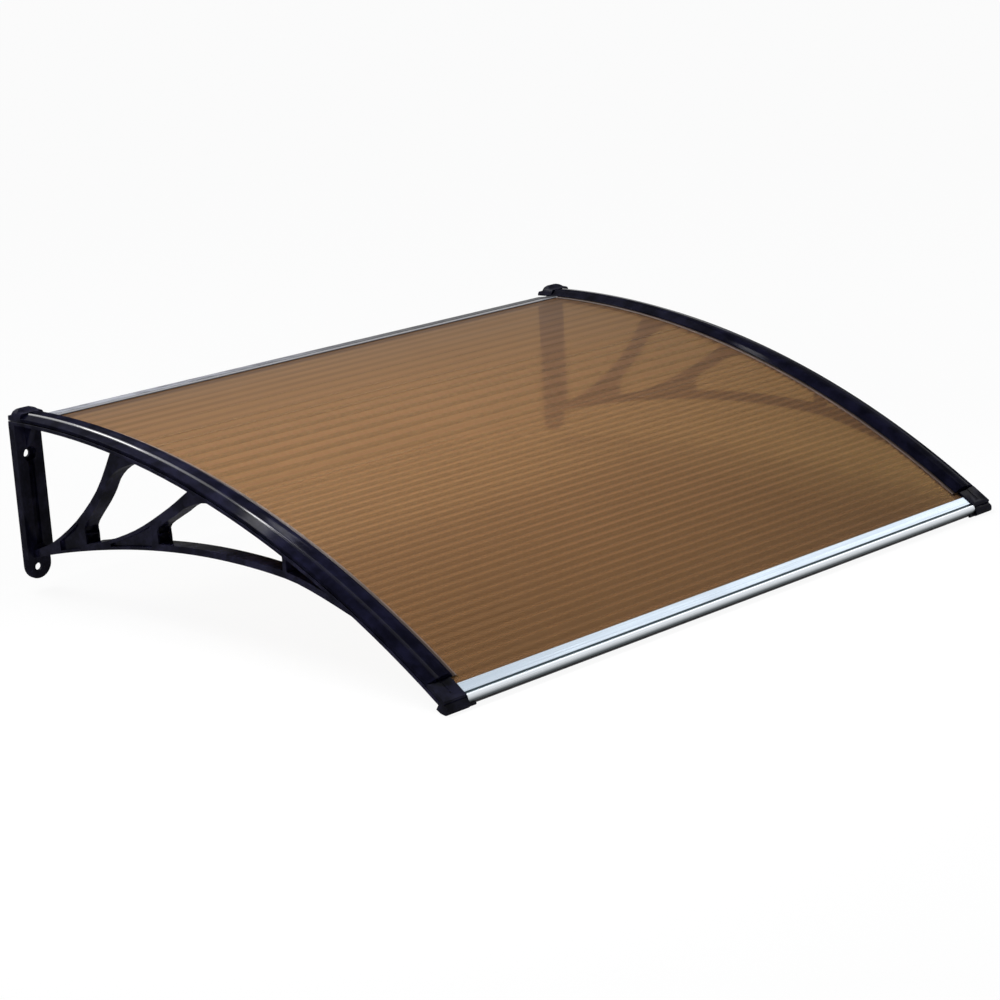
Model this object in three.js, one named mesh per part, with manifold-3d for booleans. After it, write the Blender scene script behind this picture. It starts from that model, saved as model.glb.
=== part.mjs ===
// Wall-mounted door canopy: a bronze twin-wall sheet bent over two moulded brackets and
// gripped by extruded rails along the wall and along the front edge.
// Millimetres, +Z up. The wall is the plane Y = 0, the canopy reaches out along -Y and
// X runs along its width, with X = 0 in the middle.
import * as THREE from "three";
import { mergeVertices } from "three/addons/utils/BufferGeometryUtils.js";
import Module from "manifold-3d";

const wasm = await Module();
wasm.setup();

// Overall sizes.
const WIDTH = 1000; // over the outer faces of the two brackets
const PROJECTION = 800; // from the wall to the front top edge of the arms
const DROP = 218; // fall of the arm's top edge from its crown to the front
const CROWN = 60; // distance of the crown of the arc from the wall
const CROWN_Z = 10; // height of the arm's top edge at the crown
const GAP = 0.3; // clearance between neighbouring pieces
const ARC_STEP = 30; // length of one facet along the arc

// Sheet. Heights called h are measured outwards from the arm's top edge line.
const SHEET_TOP = -3.6;
const SHEET_THICK = 3.6;
const SKIN = 0.7; // thickness of the sheet's skins and ribs
const FLUTE_PITCH = 12;
const SHEET_SIDE = 7; // inset of the sheet's side edges from the brackets' outer faces
const SHEET_REAR = 34; // distance of the sheet's rear edge from the wall
const SHEET_FRONT = 7; // distance of the sheet's front edge from the end of the arc

// Bracket arm and the strip that covers it. Distances called a run inwards from the
// bracket's outer face.
const ARM_WIDTH = 39.5;
const ARM_BOTTOM = -10;
const ARM_RIB = 4; // depth of the stiffening rib under the arm
const RIB_INSET = 12;
const UPSTAND = 6.5; // width of the outer wall that the sheet's edge stands against
const UPSTAND_TOP = -5;
const SKIRT = -3.9; // lower edge of the cover strip's outer skirt
const COVER_RISE = 5.9; // height of the cover strip's crown
const BEAD = 13.8; // position of the bead along the cover strip
const SEAL_REACH = 6.5; // reach of the seal lip past the arm's inner face
const SEAL_THICK = 0.8;

// Wall plate.
const PLATE_THICK = 13.2;
const PLATE_DROP = 210; // from the mounting origin to the plate's rounded lower end
const TAB_THICK = 4;
const TAB_HEIGHT = 30;
const BOLT_HOLE = 10;
const UPPER_HOLE = 42; // depth of the upper bolt hole below the mounting origin
const SPOTFACE = 20;
const CHANNEL_WIDTH = 9;
const CHANNEL_DEPTH = 5;

// Struts and arch under the arm. Points are [u, w]: u runs from the wall (0) to the front
// of the arc (1), w from the arm's underside (0) to the lower edge of the arch (1).
const WEB_INSET = 9; // inset of the web's faces from both faces of the arm
const ARCH_ROOT = 181; // depth of the arch below the arm at the wall
const ARCH_THICK = 8.5;
const ARCH_SHAPE = [
  [0, 1],
  [0.18, 0.8],
  [0.344, 0.599],
  [0.52, 0.37],
  [0.64, 0.21],
  [0.6875, 0.15],
  [0.75, 0.095],
  [0.8, 0.054],
  [0.85, 0],
];
const STRUT_A_REAR = [
  [0.26, 0],
  [0.2535, 0.08],
  [0.2114, 0.445],
  [0.1474, 0.736],
  [0.0755, 0.903],
  [0.025, 0.941],
  [0, 0.95],
];
const STRUT_A_FRONT = [
  [0.17, 0.86],
  [0.1695, 0.79],
  [0.1858, 0.7],
  [0.2095, 0.581],
  [0.2292, 0.454],
  [0.245, 0.323],
  [0.269, 0.2],
  [0.297, 0.105],
  [0.335, 0],
];
const STRUT_B_REAR = [
  [0.4565, 0],
  [0.445, 0.09],
  [0.392, 0.447],
  [0.3096, 0.774],
  [0.2253, 0.915],
  [0.178, 0.935],
];
const STRUT_B_FRONT = [
  [0.363, 0.84],
  [0.364, 0.729],
  [0.3897, 0.605],
  [0.4143, 0.484],
  [0.436, 0.35],
  [0.467, 0.19],
  [0.495, 0.08],
  [0.525, 0],
];
const STAY = [0.66, 0.668]; // short upright between the arm and the arch
const LENS_END = 0.775; // front end of the narrow opening before the arch runs out
const POCKET_DEPTH = 4;
const POCKET_BORDER = 5;
const NOTCH = [7, 3]; // depth of the notches in a strut's foot, and width of their rib

// Front caps and rear caps.
const CAP_LENGTH = 30;
const CAP_INSET = 5.5; // the front cap is this much narrower than the arm
const CAP_WALL = 6; // thickness of the front cap's front wall along the arc
const CAP_TONGUE = 11; // reach of the front cap's tongue in front of the rail
const REAR_CAP_LENGTH = 28;
const REAR_CAP_RISE = 10.3;
const REAR_CAP_STEP = 7; // depth of the low step between the raised part and the wall

// Rails.
const LIP = 19.5; // reach of the front rail's lip over the sheet
const LIP_THICK = 1.9;
const REAR_LIP = 44; // reach of the rear rail's lip over the sheet
const REAR_LIP_THICK = 1.4;
const REAR_STRIP = 36; // depth of the rubber strip let into the rear rail's top
const REAR_FALL = 4.6; // fall of that strip from the lip back to the wall

// Screws that clamp the covers and caps down through the sheet.
const SCREW_HEAD = 3.8;
const SCREW_SHANK = 2;
const SCREW_SINK = 2.4; // depth of the counterbore for the head
const SCREW_AT = [0.1375, 0.396, 0.585, 0.905]; // positions along the arm, as u
const SCREW_A = 20; // inset of the screw row from the bracket's outer face

const REACH = PROJECTION - CROWN;
const CAP_WIDTH = ARM_WIDTH - CAP_INSET;
const RADIUS = (REACH ** 2 + DROP ** 2) / (2 * DROP);
const S_WALL = -RADIUS * Math.asin(CROWN / RADIUS);
const S_FRONT = RADIUS * Math.asin(REACH / RADIUS);
const SHEET_BOTTOM = SHEET_TOP - SHEET_THICK;
const FLOOR = SHEET_BOTTOM - GAP; // the arm's upper face, under the sheet
const SIDES = [
  ["left", -1],
  ["right", 1],
];

const plastic = () =>
  new THREE.MeshStandardMaterial({
    color: 0x0c0d14,
    roughness: 0.35,
    metalness: 0,
  });
const aluminium = () =>
  new THREE.MeshStandardMaterial({
    color: 0xd6dade,
    roughness: 0.3,
    metalness: 1,
  });
const rubber = () =>
  new THREE.MeshStandardMaterial({
    color: 0x101012,
    roughness: 0.8,
    metalness: 0,
  });
const vinyl = () =>
  new THREE.MeshStandardMaterial({
    color: 0xb3a08f,
    roughness: 0.5,
    metalness: 0,
  });
const bronze = () =>
  new THREE.MeshStandardMaterial({
    color: 0x7d5c3c,
    roughness: 0.25,
    metalness: 0,
  });
const steel = () =>
  new THREE.MeshStandardMaterial({
    color: 0xa8abb0,
    roughness: 0.35,
    metalness: 1,
  });

/** The point at arc length s from the crown and height h over the arc, as (y, z). */
function onArc(s, h) {
  const turn = s / RADIUS;
  return new THREE.Vector2(
    -CROWN - (RADIUS + h) * Math.sin(turn),
    CROWN_Z - RADIUS + (RADIUS + h) * Math.cos(turn),
  );
}

/** Height of the arc raised by h at the distance y from the wall. */
function arcHeight(y, h) {
  return CROWN_Z - RADIUS + Math.sqrt((RADIUS + h) ** 2 - (y + CROWN) ** 2);
}

/** Arc length from the crown to the point of the arc at y. */
function arcLength(y) {
  return RADIUS * Math.asin((-CROWN - y) / RADIUS);
}

/** The X of a point a millimetres in from the outer face on the given side. */
function inward(side, a) {
  return side * (WIDTH / 2 - a);
}

/** A closed geometry as a solid for boolean work. */
function solid(geometry) {
  const bare = geometry.clone();
  bare.deleteAttribute("normal");
  bare.deleteAttribute("uv");
  const merged = mergeVertices(bare, 1e-4);
  const corners = [];
  for (let i = 0; i < merged.index.count; i += 3) {
    const face = [0, 1, 2].map((k) => merged.index.getX(i + k));
    if (new Set(face).size === 3) corners.push(...face);
  }
  return new wasm.Manifold(
    new wasm.Mesh({
      numProp: 3,
      vertProperties: new Float32Array(merged.attributes.position.array),
      triVerts: new Uint32Array(corners),
    }),
  );
}

/** A straight prism over a profile with optional holes, before it is placed. */
function prism(profile, depth, holes = [], steps = 1) {
  const shape = new THREE.Shape(profile);
  shape.holes = holes.map((hole) => new THREE.Path(hole));
  return new THREE.ExtrudeGeometry(shape, {
    depth,
    steps,
    bevelEnabled: false,
  });
}

/** A (y, z) profile extruded along X between two positions. */
function alongX(profile, x0, x1, holes = []) {
  const from = Math.min(x0, x1);
  const geometry = prism(profile, Math.abs(x1 - x0), holes);
  const turn = new THREE.Matrix4().makeBasis(
    new THREE.Vector3(0, 1, 0),
    new THREE.Vector3(0, 0, 1),
    new THREE.Vector3(1, 0, 0),
  );
  return solid(geometry.applyMatrix4(turn).translate(from, 0, 0));
}

/** An (x, z) profile extruded along Y, from y0 out to the lower y1. */
function alongY(profile, y0, y1) {
  const turn = new THREE.Matrix4().makeBasis(
    new THREE.Vector3(1, 0, 0),
    new THREE.Vector3(0, 0, 1),
    new THREE.Vector3(0, -1, 0),
  );
  return solid(prism(profile, y0 - y1).applyMatrix4(turn).translate(0, y0, 0));
}

/** A section of [a, h] points carried along the arc from s0 to s1 on one side. */
function alongArc(side, section, s0, s1) {
  const profile = section.map(
    ([a, h]) => new THREE.Vector2(inward(side, a), h),
  );
  const steps = Math.max(1, Math.ceil((s1 - s0) / ARC_STEP));
  const geometry = prism(profile, s1 - s0, [], steps);
  const position = geometry.attributes.position;
  for (let i = 0; i < position.count; i++) {
    const at = onArc(s0 + position.getZ(i), position.getY(i));
    position.setXYZ(i, position.getX(i), at.x, at.y);
  }
  return solid(geometry);
}

/** A box between two corners. */
function box(x0, x1, y0, y1, z0, z1) {
  const geometry = new THREE.BoxGeometry(
    Math.abs(x1 - x0),
    Math.abs(y1 - y0),
    Math.abs(z1 - z0),
  );
  return solid(
    geometry.translate((x0 + x1) / 2, (y0 + y1) / 2, (z0 + z1) / 2),
  );
}

/** A round bar along Y. */
function barY(x, z, radius, y0, y1) {
  const geometry = new THREE.CylinderGeometry(
    radius,
    radius,
    Math.abs(y1 - y0),
    20,
  );
  return solid(geometry.translate(x, (y0 + y1) / 2, z));
}

/** Turned geometry whose axis stands square to the arc at s, with its foot at height h. */
function squareToArc(geometry, x, s, h) {
  const at = onArc(s, h);
  return solid(
    geometry
      .rotateX(Math.PI / 2)
      .rotateX(s / RADIUS)
      .translate(x, at.x, at.y),
  );
}

/** A round bar square to the arc between two heights. */
function barUp(x, s, radius, h0, h1) {
  const geometry = new THREE.CylinderGeometry(radius, radius, h1 - h0, 12);
  return squareToArc(geometry.translate(0, (h1 - h0) / 2, 0), x, s, h0);
}

function joined(solids) {
  return solids.reduce((whole, next) => whole.add(next));
}

function less(body, cutters) {
  return cutters.reduce((rest, next) => rest.subtract(next), body);
}

/** A named mesh of a finished solid. */
function piece(name, body, material) {
  const made = body.getMesh();
  const geometry = new THREE.BufferGeometry();
  geometry.setAttribute(
    "position",
    new THREE.BufferAttribute(new Float32Array(made.vertProperties), 3),
  );
  geometry.setIndex(
    new THREE.BufferAttribute(new Uint32Array(made.triVerts), 1),
  );
  geometry.computeVertexNormals();
  const mesh = new THREE.Mesh(geometry, material);
  mesh.name = name;
  return mesh;
}

/** Points [s, h] given from the front end of the arc, as (y, z). */
function fromFront(points) {
  return points.map(([s, h]) => onArc(S_FRONT + s, h));
}

const archCurve = new THREE.SplineCurve(
  ARCH_SHAPE.map(([u, share]) => new THREE.Vector2(u, share)),
).getPoints(64);

/** Depth of the arch's lower edge below the arm at u. */
function archDepth(u) {
  const i = archCurve.findIndex((p) => p.x >= u);
  if (i < 0) return 0;
  if (i === 0) return ARCH_ROOT * archCurve[0].y;
  const [p, q] = [archCurve[i - 1], archCurve[i]];
  return ARCH_ROOT * (p.y + ((q.y - p.y) * (u - p.x)) / (q.x - p.x));
}

/** A point of the web at u and the depth d below the arm, as (y, z). */
function below(u, d) {
  const y = -u * PROJECTION;
  return new THREE.Vector2(y, arcHeight(y, ARM_BOTTOM) - d);
}

/** A smooth curve through [u, w] points of the web. */
function webCurve(points, divisions = 18) {
  const controls = points.map(([u, w]) => below(u, w * archDepth(u)));
  return new THREE.SplineCurve(controls).getPoints(divisions);
}

/** The arm's underside from u0 to u1, or the upper edge of the arch. */
function run(u0, u1, depth, divisions) {
  return Array.from({ length: divisions + 1 }, (_, i) => {
    const u = u0 + ((u1 - u0) * i) / divisions;
    return below(u, depth(u));
  });
}

const underArm = (u0, u1, divisions) => run(u0, u1, () => 0, divisions);
const overArch = (u0, u1, divisions) =>
  run(u0, u1, (u) => archDepth(u) - ARCH_THICK, divisions);

/** Height of a curve of (y, z) points at y. */
function heightOn(curve, y) {
  for (let i = 1; i < curve.length; i++) {
    const [p, q] = [curve[i - 1], curve[i]];
    if ((p.x - y) * (q.x - y) <= 0 && p.x !== q.x)
      return p.y + ((q.y - p.y) * (y - p.x)) / (q.x - p.x);
  }
  return curve.at(-1).y;
}

const strutARear = webCurve(STRUT_A_REAR);
const strutAFront = webCurve(STRUT_A_FRONT);
const strutBRear = webCurve(STRUT_B_REAR);
const strutBFront = webCurve(STRUT_B_FRONT);

/** The openings between the struts, each as a closed (y, z) outline. */
function openings() {
  const footA = STRUT_A_FRONT[0][0];
  const footB = STRUT_B_FRONT[0][0];
  return [
    [...underArm(0, STRUT_A_REAR[0][0], 5).slice(0, -1), ...strutARear],
    [
      ...overArch(footA, footA, 1).slice(0, 1),
      ...strutAFront,
      ...underArm(STRUT_A_FRONT.at(-1)[0], STRUT_B_REAR[0][0], 4).slice(1, -1),
      ...strutBRear,
    ],
    [
      ...strutBFront,
      ...underArm(STRUT_B_FRONT.at(-1)[0], STAY[0], 4).slice(1),
      ...overArch(STAY[0], footB, 10),
    ],
    [
      ...underArm(STAY[1], LENS_END, 4),
      ...overArch(LENS_END, STAY[1], 4),
    ],
  ];
}

/** Shallow pocket between a strut's rear edge and the arch, as a (y, z) outline. */
function pocket(rear, u0, u1) {
  const count = 6;
  const at = Array.from(
    { length: count + 1 },
    (_, i) => u0 + ((u1 - u0) * i) / count,
  );
  const upper = at.map((u) => {
    const y = -u * PROJECTION;
    return new THREE.Vector2(y, heightOn(rear, y) - POCKET_BORDER);
  });
  const lower = at
    .toReversed()
    .map((u) => below(u, archDepth(u) - POCKET_BORDER * 0.8));
  return [...upper, ...lower];
}

/** Arc positions of the screws of one side, with the height their tips reach. */
const SCREWS = [
  ["rear_cap", S_WALL + 22, 2],
  ...SCREW_AT.map((u, i) => [
    "cover_" + (i + 1),
    arcLength(-u * PROJECTION),
    2,
  ]),
  ["front_cap", S_FRONT - 16, -1.2],
];

function armSection() {
  const rib = ARM_WIDTH - RIB_INSET;
  return [
    [0, ARM_BOTTOM + 0.8],
    [0, UPSTAND_TOP - 0.5],
    [0.5, UPSTAND_TOP],
    [UPSTAND, UPSTAND_TOP],
    [UPSTAND, FLOOR],
    [ARM_WIDTH, FLOOR],
    [ARM_WIDTH, ARM_BOTTOM + 0.8],
    [ARM_WIDTH - 0.8, ARM_BOTTOM],
    [rib, ARM_BOTTOM],
    [rib - 1, ARM_BOTTOM - ARM_RIB],
    [RIB_INSET + 1, ARM_BOTTOM - ARM_RIB],
    [RIB_INSET, ARM_BOTTOM],
    [0.8, ARM_BOTTOM],
  ];
}

function wallPlate(side) {
  const half = ARM_WIDTH / 2;
  const mid = inward(side, half);
  const top = arcHeight(0, (ARM_BOTTOM + FLOOR) / 2);
  const centre = -PLATE_DROP + half;
  const outline = [
    new THREE.Vector2(mid + half, top),
    new THREE.Vector2(mid - half, top),
  ];
  for (let i = 0; i <= 16; i++) {
    const turn = Math.PI + (Math.PI * i) / 16;
    outline.push(
      new THREE.Vector2(
        mid + half * Math.cos(turn),
        centre + half * Math.sin(turn),
      ),
    );
  }
  const tabTop = -PLATE_DROP + TAB_HEIGHT;
  const front = -PLATE_THICK - 1;
  const channelHalf = CHANNEL_WIDTH / 2;
  return less(alongY(outline, 0, -PLATE_THICK), [
    box(
      mid - ARM_WIDTH,
      mid + ARM_WIDTH,
      -TAB_THICK,
      front,
      tabTop,
      -PLATE_DROP - 1,
    ),
    box(
      mid - channelHalf,
      mid + channelHalf,
      CHANNEL_DEPTH - PLATE_THICK,
      front,
      -UPPER_HOLE,
      tabTop + 18,
    ),
    barY(mid, -UPPER_HOLE, SPOTFACE / 2, -TAB_THICK, front),
    barY(mid, -UPPER_HOLE, BOLT_HOLE / 2, 1, front),
    barY(mid, centre - 4, BOLT_HOLE / 2, 1, front),
  ]);
}

/** A moulded bracket: wall plate, arm, two struts and the arch in one piece. */
function bracket(side) {
  const x0 = inward(side, WEB_INSET);
  const x1 = inward(side, ARM_WIDTH - WEB_INSET);
  const arm = alongArc(side, armSection(), S_WALL, S_FRONT - CAP_WALL - GAP);
  const last = ARCH_SHAPE.at(-1)[0];
  const around = [
    ...run(0, last, () => -2, 20),
    ...run(last, 0, archDepth, 32),
  ];
  const web = less(
    alongX(around, x0, x1),
    openings().map((outline) => alongX(outline, x0 + side, x1 - side)),
  );
  const gussetHalf = CHANNEL_WIDTH / 2;
  const mid = inward(side, ARM_WIDTH / 2);
  const gussetTop = arcHeight(0, ARM_BOTTOM) + 1;
  const gusset = alongX(
    [
      new THREE.Vector2(-2, gussetTop),
      new THREE.Vector2(-2, -UPPER_HOLE + SPOTFACE / 2 + 1),
      new THREE.Vector2(-PLATE_THICK, -UPPER_HOLE + SPOTFACE / 2 + 1),
      new THREE.Vector2(-PLATE_THICK - 18, gussetTop),
    ],
    mid - gussetHalf,
    mid + gussetHalf,
  );
  const cutters = [];
  for (const [rear, u0, u1] of [
    [strutARear, 0.095, 0.152],
    [strutBRear, 0.235, 0.345],
  ]) {
    const outline = pocket(rear, u0, u1);
    cutters.push(alongX(outline, x0 + side, x0 - side * POCKET_DEPTH));
    cutters.push(alongX(outline, x1 - side, x1 + side * POCKET_DEPTH));
  }
  const [notchDepth, notchRib] = NOTCH;
  for (const front of [STRUT_A_FRONT, STRUT_B_FRONT]) {
    const u = front[0][0];
    const y = -u * PROJECTION;
    const low = below(u, archDepth(u) - ARCH_THICK).y + 1.5;
    const high = below(u, front[1][1] * archDepth(u)).y;
    const rib = (low + high) / 2;
    for (const [z0, z1] of [
      [low, rib - notchRib / 2],
      [rib + notchRib / 2, high],
    ])
      cutters.push(
        box(x0 - side * 3, x1 + side * 3, y - 2, y + notchDepth, z0, z1),
      );
  }
  for (const [, s] of SCREWS) {
    const x = inward(side, SCREW_A);
    const bottom = ARM_BOTTOM - ARM_RIB;
    cutters.push(
      barUp(x, s, SCREW_HEAD + GAP, bottom - 4, bottom + SCREW_SINK),
    );
    cutters.push(barUp(x, s, SCREW_SHANK + GAP, bottom - 4, FLOOR + 1));
  }
  cutters.push(
    alongX(
      fromFront([
        [-LIP - 3, 10],
        [-LIP - 3, -30],
        [20, -30],
        [20, 10],
      ]),
      inward(side, CAP_WIDTH),
      inward(side, ARM_WIDTH + 10),
    ),
  );
  return less(joined([arm, web, wallPlate(side), gusset]), cutters);
}

/** The strip that covers the sheet's edge along the arm. */
function cover(side) {
  const base = SHEET_TOP + GAP;
  const rebate = base + SEAL_THICK + 2 * GAP;
  const section = [
    [0, SKIRT],
    [0, -0.8],
    [0.3, -0.1],
    [1, 0.4],
    [BEAD - 1.6, 3.8],
    [BEAD - 0.9, 4.6],
    [BEAD, 4.9],
    [BEAD + 0.9, 4.7],
    [BEAD + 1.4, 4.3],
    [ARM_WIDTH - 17.5, COVER_RISE - 0.5],
    [ARM_WIDTH - 14.5, COVER_RISE],
    [ARM_WIDTH - 11.5, COVER_RISE - 0.2],
    [ARM_WIDTH - 8.5, COVER_RISE - 1.2],
    [ARM_WIDTH - 5.5, COVER_RISE - 3.2],
    [ARM_WIDTH - 2.5, COVER_RISE - 5.6],
    [ARM_WIDTH - 0.5, COVER_RISE - 7.1],
    [ARM_WIDTH, rebate],
    [ARM_WIDTH - 6, rebate],
    [ARM_WIDTH - 6, base],
    [SHEET_SIDE - 0.5, base],
    [SHEET_SIDE - 0.5, SKIRT],
  ];
  const body = alongArc(
    side,
    section,
    S_WALL + REAR_CAP_LENGTH + GAP,
    S_FRONT - CAP_LENGTH - GAP,
  );
  return less(
    body,
    SCREWS.slice(1, -1).map(([, s, tip]) =>
      barUp(inward(side, SCREW_A), s, SCREW_SHANK + GAP, base - 1, tip + GAP),
    ),
  );
}

/** The flexible lip between the cover strip and the sheet. */
function seal(side) {
  const base = SHEET_TOP + GAP;
  const tip = ARM_WIDTH + SEAL_REACH;
  const section = [
    [ARM_WIDTH - 6 + GAP, base],
    [ARM_WIDTH - 6 + GAP, base + SEAL_THICK],
    [ARM_WIDTH + 1, base + SEAL_THICK],
    [tip - 3, base + SEAL_THICK + 0.4],
    [tip - 1, base + SEAL_THICK + 0.4],
    [tip, base + 0.2],
    [tip - 0.3, base],
  ];
  return alongArc(
    side,
    section,
    S_WALL + REAR_LIP + 1,
    S_FRONT - CAP_LENGTH - GAP,
  );
}

/** Space that the arm, the sheet and their clearance take up under a cap. */
function capClearance(side, s0, s1) {
  return alongArc(
    side,
    [
      [-2, -40],
      [-2, SKIRT],
      [SHEET_SIDE - 0.5, SKIRT],
      [SHEET_SIDE - 0.5, SHEET_TOP + GAP],
      [ARM_WIDTH + 4, SHEET_TOP + GAP],
      [ARM_WIDTH + 4, -40],
    ],
    s0,
    s1,
  );
}

/** The cap over the front end of an arm: a lid, then a stepped nose that closes the front
 * rail, with a tongue that reaches along the rail in front of the drip strip. */
function frontCap(side) {
  const lipHigh = SHEET_TOP + GAP + LIP_THICK;
  const profile = fromFront([
    [-CAP_LENGTH, -12],
    [-CAP_LENGTH, -0.5],
    [-CAP_LENGTH + 0.6, 0.1],
    [-0.9, 0],
    [0.2, -0.5],
    [0.8, -1.6],
    [0.9, -3.3],
    [5.4, -3.5],
    [7.4, -4.4],
    [9.2, -6.6],
    [10.2, -9.2],
    [9.8, -11],
    [8, -12.6],
    [2, -15.4],
    [-CAP_WALL, -16.3],
  ]);
  const tongue = fromFront([
    [6.3, lipHigh - 6.9],
    [6.6, lipHigh - 8.8],
    [5.8, lipHigh - 11.4],
    [7.4, lipHigh - 11.2],
    [9, lipHigh - 9.8],
    [9.3, lipHigh - 8.2],
    [8.6, lipHigh - 7],
  ]);
  const body = alongX(profile, inward(side, 0), inward(side, CAP_WIDTH)).add(
    alongX(
      tongue,
      inward(side, CAP_WIDTH - 1),
      inward(side, CAP_WIDTH + CAP_TONGUE),
    ),
  );
  const [, s, tip] = SCREWS.at(-1);
  const groove = [
    [CAP_WIDTH / 2 - 0.8, -0.5],
    [CAP_WIDTH / 2 - 0.8, 2],
    [CAP_WIDTH / 2 + 0.8, 2],
    [CAP_WIDTH / 2 + 0.8, -0.5],
  ];
  return less(body, [
    alongArc(side, groove, S_FRONT - CAP_LENGTH + 2, S_FRONT - 8.5),
    capClearance(side, S_FRONT - CAP_LENGTH - 10, S_FRONT - CAP_WALL),
    barUp(inward(side, SCREW_A), s, SCREW_SHANK + GAP, -20, tip + GAP),
  ]);
}

/** The cap over the wall end of an arm: a low step at the wall, then a raised hump. */
function rearCap(side) {
  const across = [
    [0.4, -20],
    [0.4, REAR_CAP_RISE - 10.3],
    [1.5, REAR_CAP_RISE - 6.8],
    [4, REAR_CAP_RISE - 3.3],
    [8, REAR_CAP_RISE - 1],
    [14, REAR_CAP_RISE],
    [ARM_WIDTH - 13.5, REAR_CAP_RISE - 0.3],
    [ARM_WIDTH - 7.5, REAR_CAP_RISE - 2.3],
    [ARM_WIDTH - 4.5, REAR_CAP_RISE - 5.3],
    [ARM_WIDTH - 2, REAR_CAP_RISE - 9.3],
    [ARM_WIDTH, REAR_CAP_RISE - 12.4],
    [ARM_WIDTH, -20],
  ].map(([a, z]) => new THREE.Vector2(inward(side, a), z + CROWN_Z));
  const depth = [
    [-0.5, -20],
    [-0.5, 0.6],
    [-1.3, 1.4],
    [-REAR_CAP_STEP, 1.6],
    [-REAR_CAP_STEP - 0.8, REAR_CAP_RISE - 3.2],
    [-REAR_CAP_STEP - 2.2, REAR_CAP_RISE - 0.8],
    [-REAR_CAP_STEP - 4.4, REAR_CAP_RISE],
    [-REAR_CAP_LENGTH + 15.4, REAR_CAP_RISE],
    [-REAR_CAP_LENGTH + 13, REAR_CAP_RISE - 0.9],
    [-REAR_CAP_LENGTH + 9.2, COVER_RISE + 0.3],
    [-REAR_CAP_LENGTH, COVER_RISE - 0.4],
    [-REAR_CAP_LENGTH, -20],
  ].map(([y, z]) => new THREE.Vector2(y, z + CROWN_Z));
  const body = alongY(across, 0, -REAR_CAP_LENGTH - 1).intersect(
    alongX(depth, inward(side, 0), inward(side, ARM_WIDTH)),
  );
  const [, s, tip] = SCREWS[0];
  return less(body, [
    capClearance(side, S_WALL - 5, S_WALL + REAR_CAP_LENGTH + 10),
    barUp(inward(side, SCREW_A), s, SCREW_SHANK + GAP, -20, tip + GAP),
  ]);
}

/** The twin-wall sheet, its flutes running along X from edge to edge. */
function sheet() {
  const s0 = arcLength(-SHEET_REAR);
  const s1 = S_FRONT - SHEET_FRONT;
  const count = Math.round((s1 - s0) / FLUTE_PITCH);
  const pitch = (s1 - s0) / count;
  const marks = Array.from({ length: count + 1 }, (_, i) => s0 + i * pitch);
  const outline = [
    ...marks.map((s) => onArc(s, SHEET_TOP)),
    ...marks.toReversed().map((s) => onArc(s, SHEET_BOTTOM)),
  ];
  const flutes = marks.slice(0, -1).map((s) => {
    const [from, to] = [s + SKIN / 2, s + pitch - SKIN / 2];
    const [low, high] = [SHEET_BOTTOM + SKIN, SHEET_TOP - SKIN];
    return [
      onArc(from, low),
      onArc(to, low),
      onArc(to, high),
      onArc(from, high),
    ];
  });
  const body = alongX(
    outline,
    inward(-1, SHEET_SIDE),
    inward(1, SHEET_SIDE),
    flutes,
  );
  const holes = SIDES.flatMap(([, side]) =>
    SCREWS.map(([, s]) =>
      barUp(inward(side, SCREW_A), s, SCREW_SHANK + GAP, -14, 2),
    ),
  );
  return less(body, holes);
}

/** The front rail: a channel over the sheet's edge with a groove and a rounded nose. */
function frontRail() {
  const lipLow = SHEET_TOP + GAP;
  const lipHigh = lipLow + LIP_THICK;
  const slot = -SHEET_FRONT + GAP;
  const profile = fromFront([
    [-LIP, lipLow],
    [-LIP, lipHigh - 0.5],
    [-LIP + 0.5, lipHigh],
    [-5.6, lipHigh],
    [-5.3, lipHigh - 0.4],
    [-5.2, lipHigh - 1.9],
    [-2.6, lipHigh - 1.9],
    [-2.5, lipHigh],
    [-1.6, lipHigh + 0.7],
    [0.2, lipHigh + 0.7],
    [2.2, lipHigh - 0.4],
    [4, lipHigh - 2.2],
    [5.4, lipHigh - 4.4],
    [5.8, lipHigh - 5.6],
    [5.6, lipHigh - 6.2],
    [5, lipHigh - 6.5],
    [-3, FLOOR - 2.6],
    [-LIP + 1, FLOOR - 1.7],
    [-LIP + 1, FLOOR],
    [slot, FLOOR],
    [slot, lipLow],
  ]);
  const end = CAP_WIDTH + GAP;
  return alongX(profile, inward(-1, end), inward(1, end));
}

/** The soft strip under the front rail's nose. */
function dripStrip() {
  const lipHigh = SHEET_TOP + GAP + LIP_THICK;
  const profile = fromFront([
    [-2.6, FLOOR - 3],
    [5, lipHigh - 6.82],
    [5.9, lipHigh - 7.1],
    [6.2, lipHigh - 8.8],
    [5.4, lipHigh - 11.4],
    [4.4, lipHigh - 12],
    [-1.6, FLOOR - 5],
  ]);
  const end = CAP_WIDTH + GAP;
  return alongX(profile, inward(-1, end), inward(1, end));
}

/** Height h of the rear rail's sloping top, which the rubber strip lies on, at y. */
function rebate(y) {
  return SHEET_TOP + REAR_LIP_THICK - 0.4 - REAR_FALL * (1 + y / REAR_STRIP);
}

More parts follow.
